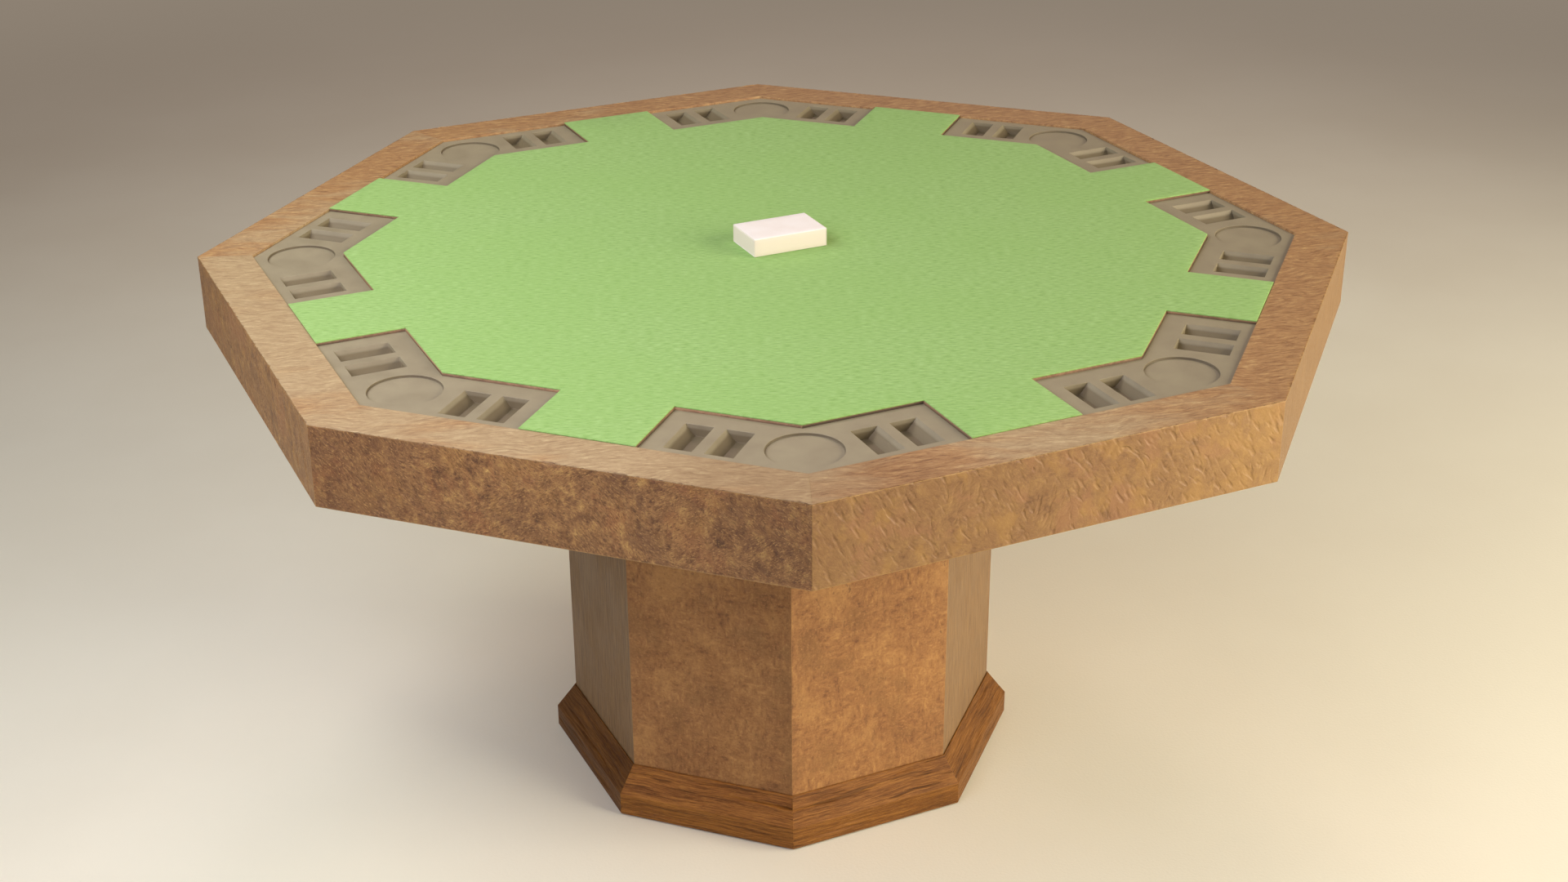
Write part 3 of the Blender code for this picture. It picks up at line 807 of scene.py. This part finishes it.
def plinth_section():
    points = node_points("plinth_rail_1")
    face_top = max(p.z for p in points if p.x > PLINTH_HIGH.x - GAP)
    lip = max(p.x for p in points if p.z > PLINTH_HIGH.z - GAP)
    return section_points([
        (PLINTH_LOW.x, PLINTH_LOW.z, 0.0004),
        (PLINTH_HIGH.x, PLINTH_LOW.z, PLINTH_RADIUS, PLINTH_SPACING),
        (PLINTH_HIGH.x, face_top, PLINTH_RADIUS, PLINTH_SPACING),
        (lip, PLINTH_HIGH.z, 0.0005),
        (PLINTH_LOW.x, PLINTH_HIGH.z, 0.0003),
    ])


def build_wood():
    for kind, slot, section, spacing, relief, material, figures in (
        ("rim_rail", "rim_wood", rim_section, RIM_SPACING, rim_relief, rim_wood, RIM_FIGURE),
        ("apron_board", "apron_wood", apron_section, RIM_SPACING, apron_relief, apron_wood, APRON_FIGURE),
        ("column_panel", "column_wood", column_section, COLUMN_SPACING, column_relief, column_wood,
         COLUMN_FIGURE),
        ("plinth_rail", "plinth_wood", plinth_section, PLINTH_SPACING, plinth_relief, plinth_wood,
         PLINTH_PAINTED_SHADE),
    ):
        outline, wood = section(), material()
        for index, figure in enumerate(figures):
            node = f"{kind}_{index + 1}"
            mesh = board_mesh(f"{node}_worked", index, outline, spacing, MITRE_RADIUS, relief)
            point_values(mesh, figure=[figure] * len(mesh.vertices))
            turn = Matrix.Rotation(index * TURN, 4, "Z")
            add_piece(f"{node}_worked", mesh, wood, "table", node, turn)


# --- felt ---
def on_side(side_angle, apothem, along):
    return Vector((
        apothem * cos(side_angle) - along * sin(side_angle),
        apothem * sin(side_angle) + along * cos(side_angle),
    ))


def tray_arm():
    """How a tray lies on side 1: (inner edge, outer edge, end), all with the clearance taken off."""
    points = node_points("chip_tray_1")
    end = TRAY_LOW.y
    inner = min(p.x for p in points if p.y < end + GAP)
    return inner - GAP, RIM_INNER - GAP, end - GAP


def felt_outline():
    inner, outer, end = tray_arm()
    points = []
    for i in range(SIDES):
        side = i * TURN
        points.append(on_side(side, outer, -end))
        points.append(on_side(side, outer, end))
        points.append(on_side(side, inner, end))
        points.append(on_side(side, inner, inner * tan(HALF_TURN)))
        points.append(on_side(side + TURN, inner, -end))
    return points


def inset(points, distance):
    """The outline moved inwards by a distance, with its corners mitred."""
    moved = []
    for i, point in enumerate(points):
        before = (point - points[i - 1]).normalized()
        after = (points[(i + 1) % len(points)] - point).normalized()
        first = Vector((-before.y, before.x))
        second = Vector((-after.y, after.x))
        middle = (first + second).normalized()
        moved.append(point + middle * distance / middle.dot(first))
    return moved


def divided(points, spacing):
    """The outline with more points along its edges, the same number however far it is inset."""
    base = felt_outline()
    result = []
    for i, point in enumerate(points):
        following = points[(i + 1) % len(points)]
        length = (base[(i + 1) % len(base)] - base[i]).length
        steps = max(1, round(length / spacing))
        result += [point.lerp(following, step / steps) for step in range(steps)]
    return result


def inside(point, outline):
    """Whether a point lies inside an outline, by counting the edges to its right."""
    crossed = False
    for i, first in enumerate(outline):
        second = outline[i - 1]
        if (first.y > point.y) != (second.y > point.y):
            share = (point.y - first.y) / (second.y - first.y)
            if point.x < first.x + share * (second.x - first.x):
                crossed = not crossed
    return crossed


def felt_height(point):
    """The cloth lies almost flat: a very low swell."""
    return FELT_SWELL * field(point.x * 9, point.y * 9, 0.5)


def felt_mesh():
    outline = felt_outline()
    thick = FELT_HIGH.z - FELT_LOW.z
    quarter = (0, pi / 6, pi / 3, pi / 2)
    levels = [(FELT_ROLL * (1 - sin(angle)), FELT_ROLL * (cos(angle) - 1)) for angle in quarter]
    levels.append((0.0001, -thick))
    rims = [divided(inset(outline, draw), FELT_EDGE_SPACING) for draw, _ in levels]
    count = len(rims[0])
    clear = inset(outline, FELT_SPACING * 0.6)
    grid = []
    rows = int(RIM_INNER / FELT_SPACING) + 1
    for row in range(-rows, rows + 1):
        for column in range(-rows, rows + 1):
            shift = FELT_SPACING / 2 * (row % 2)
            point = Vector((column * FELT_SPACING + shift, row * FELT_SPACING * 0.87))
            if inside(point, clear):
                grid.append(point)
    flat = rims[0] + grid
    edges = [(i, (i + 1) % count) for i in range(count)]
    flat, _, faces, *_ = delaunay_2d_cdt(flat, edges, [], 1, 1e-6)
    top = FELT_HIGH.z
    points = [(p.x, p.y, top + (felt_height(p) if i >= count else 0.0)) for i, p in enumerate(flat)]
    faces = [tuple(face) for face in faces]
    above = list(range(count))
    for (_, level), rim in zip(levels[1:], rims[1:]):
        below = list(range(len(points), len(points) + count))
        points += [(p.x, p.y, top + level) for p in rim]
        for i in range(count):
            k = (i + 1) % count
            faces.append((above[i], below[i], below[k], above[k]))
        above = below
    faces.append(tuple(reversed(above)))
    mesh = mesh_of("felt_sheet", points, faces)
    shade(mesh, 50)
    return mesh


# --- chip trays ---
CUP_CORNER_OFFSET = 0.0620       # from the tray's outer corner to the middle of the cup recess
CUP_RADIUS = 0.0423
CUP_DEPTH = 0.0030
TROUGH_SIZE = (0.0638, 0.0327, 0.0136)       # length, width and depth
TROUGH_RIM_OFFSET = 0.0465       # from the rim to the middle of a trough
TROUGH_SIDE_OFFSETS = (0.1080, 0.1544)       # from the middle of a side to each trough


def prism_mesh(name, outline, low, high):
    return loft_mesh(name, [[(p.x, p.y, z) for p in outline] for z in (low, high)])


def tray_outline():
    """The tray with the table's corner on +X."""
    inner, outer, end = tray_arm()
    inner, end = inner + GAP, end + GAP
    return [
        Vector((outer / cos(HALF_TURN), 0)),
        on_side(HALF_TURN, outer, -end),
        on_side(HALF_TURN, inner, -end),
        Vector((inner / cos(HALF_TURN), 0)),
        on_side(-HALF_TURN, inner, end),
        on_side(-HALF_TURN, outer, end),
    ]


def trough_outline():
    """Across and down, round the trough: three flats and two steep sides, nearly half-round."""
    half = TROUGH_SIZE[1] / 2
    depth = TROUGH_SIZE[2]
    low = [(half, 0.0), (half * 0.775, depth * 0.44), (half * 0.32, depth)]
    ring = [Vector((x, -z)) for x, z in low] + [Vector((-x, -z)) for x, z in reversed(low)]
    return ring + [Vector((-half * 1.15, depth)), Vector((half * 1.15, depth))]


def pocket_mesh(cup_distance, top):
    """The cup recess and the four troughs, as one cutter."""
    length = TROUGH_SIZE[0]
    bm = bmesh.new()
    bmesh.ops.create_cone(
        bm, cap_ends=True, segments=CUP_SEGMENTS, radius1=CUP_RADIUS, radius2=CUP_RADIUS,
        depth=2 * CUP_DEPTH, matrix=Matrix.Translation((cup_distance, 0, top)),
    )
    upright = Matrix(((0, 0, 1, 0), (1, 0, 0, 0), (0, 1, 0, 0), (0, 0, 0, 1)))
    for side in (1, -1):
        for offset in TROUGH_SIDE_OFFSETS:
            x, y = on_side(side * HALF_TURN, RIM_INNER - TROUGH_RIM_OFFSET, -side * offset)
            trough = prism_mesh("trough", trough_outline(), -length / 2, length / 2)
            turn = Matrix.Rotation(side * HALF_TURN, 4, "Z")
            trough.transform(Matrix.Translation((x, y, top)) @ turn @ upright)
            bm.from_mesh(trough)
            bpy.data.meshes.remove(trough)
    mesh = bpy.data.meshes.new("pockets")
    bm.to_mesh(mesh)
    bm.free()
    return mesh


def soften(obj, weld_distance, width, segments, angle):
    """Welds an object's doubled vertices and rounds its edges."""
    weld = obj.modifiers.new("weld", "WELD")
    weld.merge_threshold = weld_distance
    bevel = obj.modifiers.new("soften", "BEVEL")
    bevel.width = width
    bevel.segments = segments
    bevel.limit_method = "ANGLE"
    bevel.angle_limit = radians(angle)
    return bevel


def tray_mesh(cup_distance, low, top):
    blank = add_object("tray_blank", prism_mesh("tray_blank", tray_outline(), low, top))
    cutter = add_object("tray_cutter", pocket_mesh(cup_distance, top))
    cut = blank.modifiers.new("cut", "BOOLEAN")
    cut.solver = "EXACT"
    cut.object = cutter
    soften(blank, 0.000005, TRAY_ROUNDING, 3, 28).harden_normals = True
    shade(blank.data)
    bpy.context.view_layer.update()
    graph = bpy.context.evaluated_depsgraph_get()
    mesh = bpy.data.meshes.new_from_object(blank.evaluated_get(graph))
    mesh.name = "tray_moulding"
    for obj in (blank, cutter):
        bpy.data.objects.remove(obj, do_unlink=True)
    mesh.transform(Matrix.Translation((-cup_distance, 0, -top)))
    return mesh


def build_trays(material):
    cup_distance = RIM_INNER / cos(HALF_TURN) - CUP_CORNER_OFFSET
    mesh = tray_mesh(cup_distance, TRAY_LOW.z, TRAY_HIGH.z)
    for i in range(SIDES):
        corner = HALF_TURN + i * TURN
        place = Matrix.Translation((*on_side(corner, cup_distance, 0.0), TRAY_HIGH.z))
        matrix = place @ Matrix.Rotation(corner, 4, "Z")
        node = f"chip_tray_{i + 1}"
        add_piece(f"{node}_moulding", mesh, material, node, node, matrix)


# --- card box ---
def rounded_rectangle(width, height, radius, bulge=0.0):
    """A closed loop in (across, height), centred, with rounded corners and slightly crowned sides."""
    half = (width / 2, height / 2)
    corners = [
        (-half[0], -half[1], radius, width / 8),
        (half[0], -half[1], radius, height / 4),
        (half[0], half[1], radius, width / 8),
        (-half[0], half[1], radius, height / 4),
    ]
    loop = []
    for point, normal, _ in section_points(corners):
        share = point.x / width if abs(normal.y) > 0.9 else point.y / height
        loop.append(point + normal * bulge * max(0.0, 1 - (2 * share) ** 2))
    return loop


def box_ring(low, high, x, shrink, radius, bulge=0.0):
    """A loop round a box at a place along X, drawn in from its sides."""
    size, centre = high - low, (low + high) / 2
    loop = rounded_rectangle(size.y - 2 * shrink, size.z - 2 * shrink, radius, bulge)
    return [(x, centre.y + p.x, centre.z + p.y) for p in loop]


def carton_mesh(low, high):
    """A sleeve of paperboard along X, open at +X. Its -X end is closed by a tucked panel."""
    def ring(x, shrink, bulge=0.0):
        return box_ring(low, high, x, shrink, max(0.0002, CARD_RADIUS - shrink), bulge)

    start, end = low.x, high.x
    soft = CARD_RADIUS * 0.6
    closed_end = (
        (0.0, 0.0030), (0.0, 0.0016), (0.0003, 0.0014), (0.0003, 0.0012), (0.0, 0.0010),
        (soft * 0.3, soft * 0.3), (soft, 0.0),
    )
    rings = [ring(start + depth, shrink) for depth, shrink in closed_end]
    steps = 12
    for step in range(1, steps):
        share = step / steps
        bulge = 0.0003 * (1 - (2 * share - 1) ** 2)
        rings.append(ring(start + (end - start) * share, 0.0, bulge))
    rings += [ring(end - 0.0001, 0.0), ring(end, 0.0001), ring(end, CARD_WALL - 0.0001)]
    rings += [ring(end - 0.0001, CARD_WALL), ring(start + CARD_WALL, CARD_WALL)]
    mesh = loft_mesh("card_sleeve", rings)
    shade(mesh, 35)
    return mesh


def flap_mesh(low, high):
    """The end panel, with softened edges."""
    thick, soft, draw = (high - low).x, 0.00012, 0.00025
    profile = [(0.0, draw), (soft, 0.0), (thick - soft, 0.0), (thick, draw), (thick, 0.0040)]
    rings = [box_ring(low, high, low.x + depth, shrink, CARD_RADIUS * 0.5) for depth, shrink in profile]
    mesh = loft_mesh("card_end_flap", rings)
    shade(mesh, 35)
    return mesh


def build_card_box(card):
    for name, node, shape in (
        ("card_box_sleeve", "card_box", carton_mesh),
        ("card_box_end_flap", "card_box_flap", flap_mesh),
    ):
        add_piece(name, shape(*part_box(node)), card, node, node)


# --- CAD nodes that keep their shape ---
def dress_node(node, material, rounding):
    """Gives a CAD node its material and softens its edges."""
    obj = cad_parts[node]
    obj.data.materials.clear()
    obj.data.materials.append(material)
    soften(obj, 0.00001, rounding, 2, 40)
    shade(obj.data)


def dress_nodes():
    wood, steel, foot, stock = panel_wood(), zinc_steel(), foot_plastic(), card_stock()
    for node in ("playing_panel", "base_panel", "bearer_left", "bearer_right"):
        dress_node(node, wood, 0.0004)
    for level in ("top", "middle", "bottom"):
        dress_node(f"column_{level}_former", wood, 0.0004)
    for i in range(1, 5):
        dress_node(f"top_bolt_{i}", steel, 0.0003)
        dress_node(f"levelling_foot_{i}", foot, 0.0003)
    dress_node("card_deck", stock, 0.0006)


# --- studio ---
FLOOR_SIZE = 240.0
FLOOR_LAP = 0.010                # how far the floor reaches under the plinth
FLOOR_DROP = 0.0002              # keeps the floor out of the faces that rest on it
# The floor round the key light's foot is a painted pool of light: it glows with a flat warm colour
# instead of being lit.
KEY_FOOT = (2.3, -2.3, 0.0)      # the floor under the key light, where it would burn out
KEY_GLOW = (2.3, 1.2)            # how far from there its plain colour starts, and is full
FADE = (2.4, 5.0)                # where the floor fades into the backdrop
BACKDROP = srgb(141, 129, 115)
SKY = (0.75, 0.80, 0.90, 1.0)
SKY_ABOVE = 0.01
SKY_BELOW = 0.4
SKY_BAND = 0.1                   # how far below level the sky takes to brighten
CAMERA_AZIMUTH = radians(-115.007)
CAMERA_ELEVATION = radians(25.259)
CAMERA_ROLL = radians(-0.370)
CAMERA_DISTANCE = 2.26776
CAMERA_TARGET = Vector((-0.24695, -0.54120, RIM_TOP))
LIGHT_TARGET = Vector((0.0, 0.0, 0.4))


def towards(azimuth, elevation):
    """The direction at an angle from +X, anticlockwise, and at an angle above the floor."""
    return Vector((cos(azimuth) * cos(elevation), sin(azimuth) * cos(elevation), sin(elevation)))


def looking_back(target, way, distance):
    """Stands an object off from the target, facing it."""
    aim = (-way).to_track_quat("-Z", "Y").to_matrix().to_4x4()
    return Matrix.Translation(target + way * distance) @ aim


def build_floor():
    """An eight-sided sheet with a hole under the plinth. Seen from below it is clear, so that the
    underside shows."""
    s = Shading("studio_floor")
    place = s.coordinates()
    mottle = s.noise(place, 1.4, 4.0)
    grit = s.noise(place, 260.0, 2.0)
    colour = s.tinged(srgb(228, 218, 203), (mottle, 0.3, 0.7, 1.0, 233, 224, 210))
    normal = s.bump(grit, 0.0002)
    material = s.finish(colour, 0.85, normal, tint=(1.12, 1.24, 1.17), Specular_IOR_Level=0.2)
    distance = s.add("VectorMath", {0: place, 1: KEY_FOOT}, operation="DISTANCE")
    from_key = distance.outputs["Value"]
    from_table = s.add("VectorMath", {0: place}, operation="LENGTH").outputs["Value"]
    # painted light: round the key light's foot the floor glows instead of being lit
    lit = s.span(from_key, *KEY_GLOW)
    glow = s.add("Emission", {"Color": s.mix(lit, BACKDROP, srgb(244, 232, 204))}).outputs[0]
    share = s.maths("MAXIMUM", lit, s.span(from_table, *FADE))
    mixed = s.add("MixShader", {0: share, 1: s.shader.outputs[0], 2: glow}).outputs[0]
    below = s.add("NewGeometry").outputs["Backfacing"]
    clear = s.add("BsdfTransparent").outputs[0]
    s.show(s.add("MixShader", {0: below, 1: mixed, 2: clear}))
    radii = ((PLINTH_HIGH.x - FLOOR_LAP) / cos(HALF_TURN), FLOOR_SIZE / 2)
    corners = [HALF_TURN + i * TURN for i in range(SIDES)]
    points = [(radius * cos(angle), radius * sin(angle), 0.0) for radius in radii for angle in corners]
    faces = [(i, SIDES + i, SIDES + (i + 1) % SIDES, (i + 1) % SIDES) for i in range(SIDES)]
    mesh = bpy.data.meshes.new("studio_floor")
    mesh.from_pydata(points, [], faces)
    mesh.materials.append(material)
    add_object("studio_floor", mesh, Matrix.Translation((0, 0, -FLOOR_DROP)))


def build_camera():
    camera = bpy.data.cameras.new("camera")
    camera.lens = 50.0
    camera.sensor_width = 36.0
    camera.clip_end = 100.0
    place = looking_back(CAMERA_TARGET, towards(CAMERA_AZIMUTH, CAMERA_ELEVATION), CAMERA_DISTANCE)
    roll = Matrix.Rotation(CAMERA_ROLL, 4, "Z")
    bpy.context.scene.camera = add_object("camera", camera, place @ roll)


def add_light(name, azimuth, elevation, distance, size, power, colour):
    """A square area light that faces the middle of the table, from a direction in degrees."""
    light = bpy.data.lights.new(name, "AREA")
    light.shape = "SQUARE"
    light.size = size
    light.energy = power
    light.color = colour
    way = towards(radians(azimuth), radians(elevation))
    add_object(name, light, looking_back(LIGHT_TARGET, way, distance))


def build_world():
    """A very faint cool sky, brighter below the floor. The camera sees it as the backdrop that the
    floor fades into."""
    s = Shading("studio", "worlds")
    height = s.parts(s.add("TexCoord").outputs["Generated"])[2]
    limits = {"From Min": 0.0, "From Max": -SKY_BAND, "To Min": SKY_ABOVE, "To Max": SKY_BELOW}
    sky = s.tree.nodes["Background"]
    s.put(sky.inputs["Color"], SKY)
    s.put(sky.inputs["Strength"], s.add("MapRange", {"Value": height, **limits}).outputs[0])
    backdrop = s.add("Background", {"Color": BACKDROP})
    seen = s.add("LightPath").outputs["Is Camera Ray"]
    s.show(s.add("MixShader", {0: seen, 1: sky.outputs[0], 2: backdrop.outputs[0]}))
    bpy.context.scene.world = s.owner


def build_lights():
    add_light("key", 315, 18, 3.4, 2.5, 158.0, (1.0, 0.874, 0.737))
    add_light("fill_front", 210, 38, 2.2, 1.2, 26.5, (0.885, 0.825, 1.0))
    add_light("fill_back", 150, 50, 2.2, 1.2, 18.8, (1.0, 0.99, 0.95))
    add_light("back", 60, 45, 6.0, 1.5, 63.0, (1.0, 0.712, 0.680))
    build_world()
    bpy.context.scene.view_settings.view_transform = "Standard"


# --- putting it together ---
build_wood()
add_piece("felt_sheet", felt_mesh(), green_felt(), "table", "felt_cloth")
build_trays(tray_plastic())
build_card_box(white_card())
dress_nodes()
build_floor()
build_camera()
build_lights()
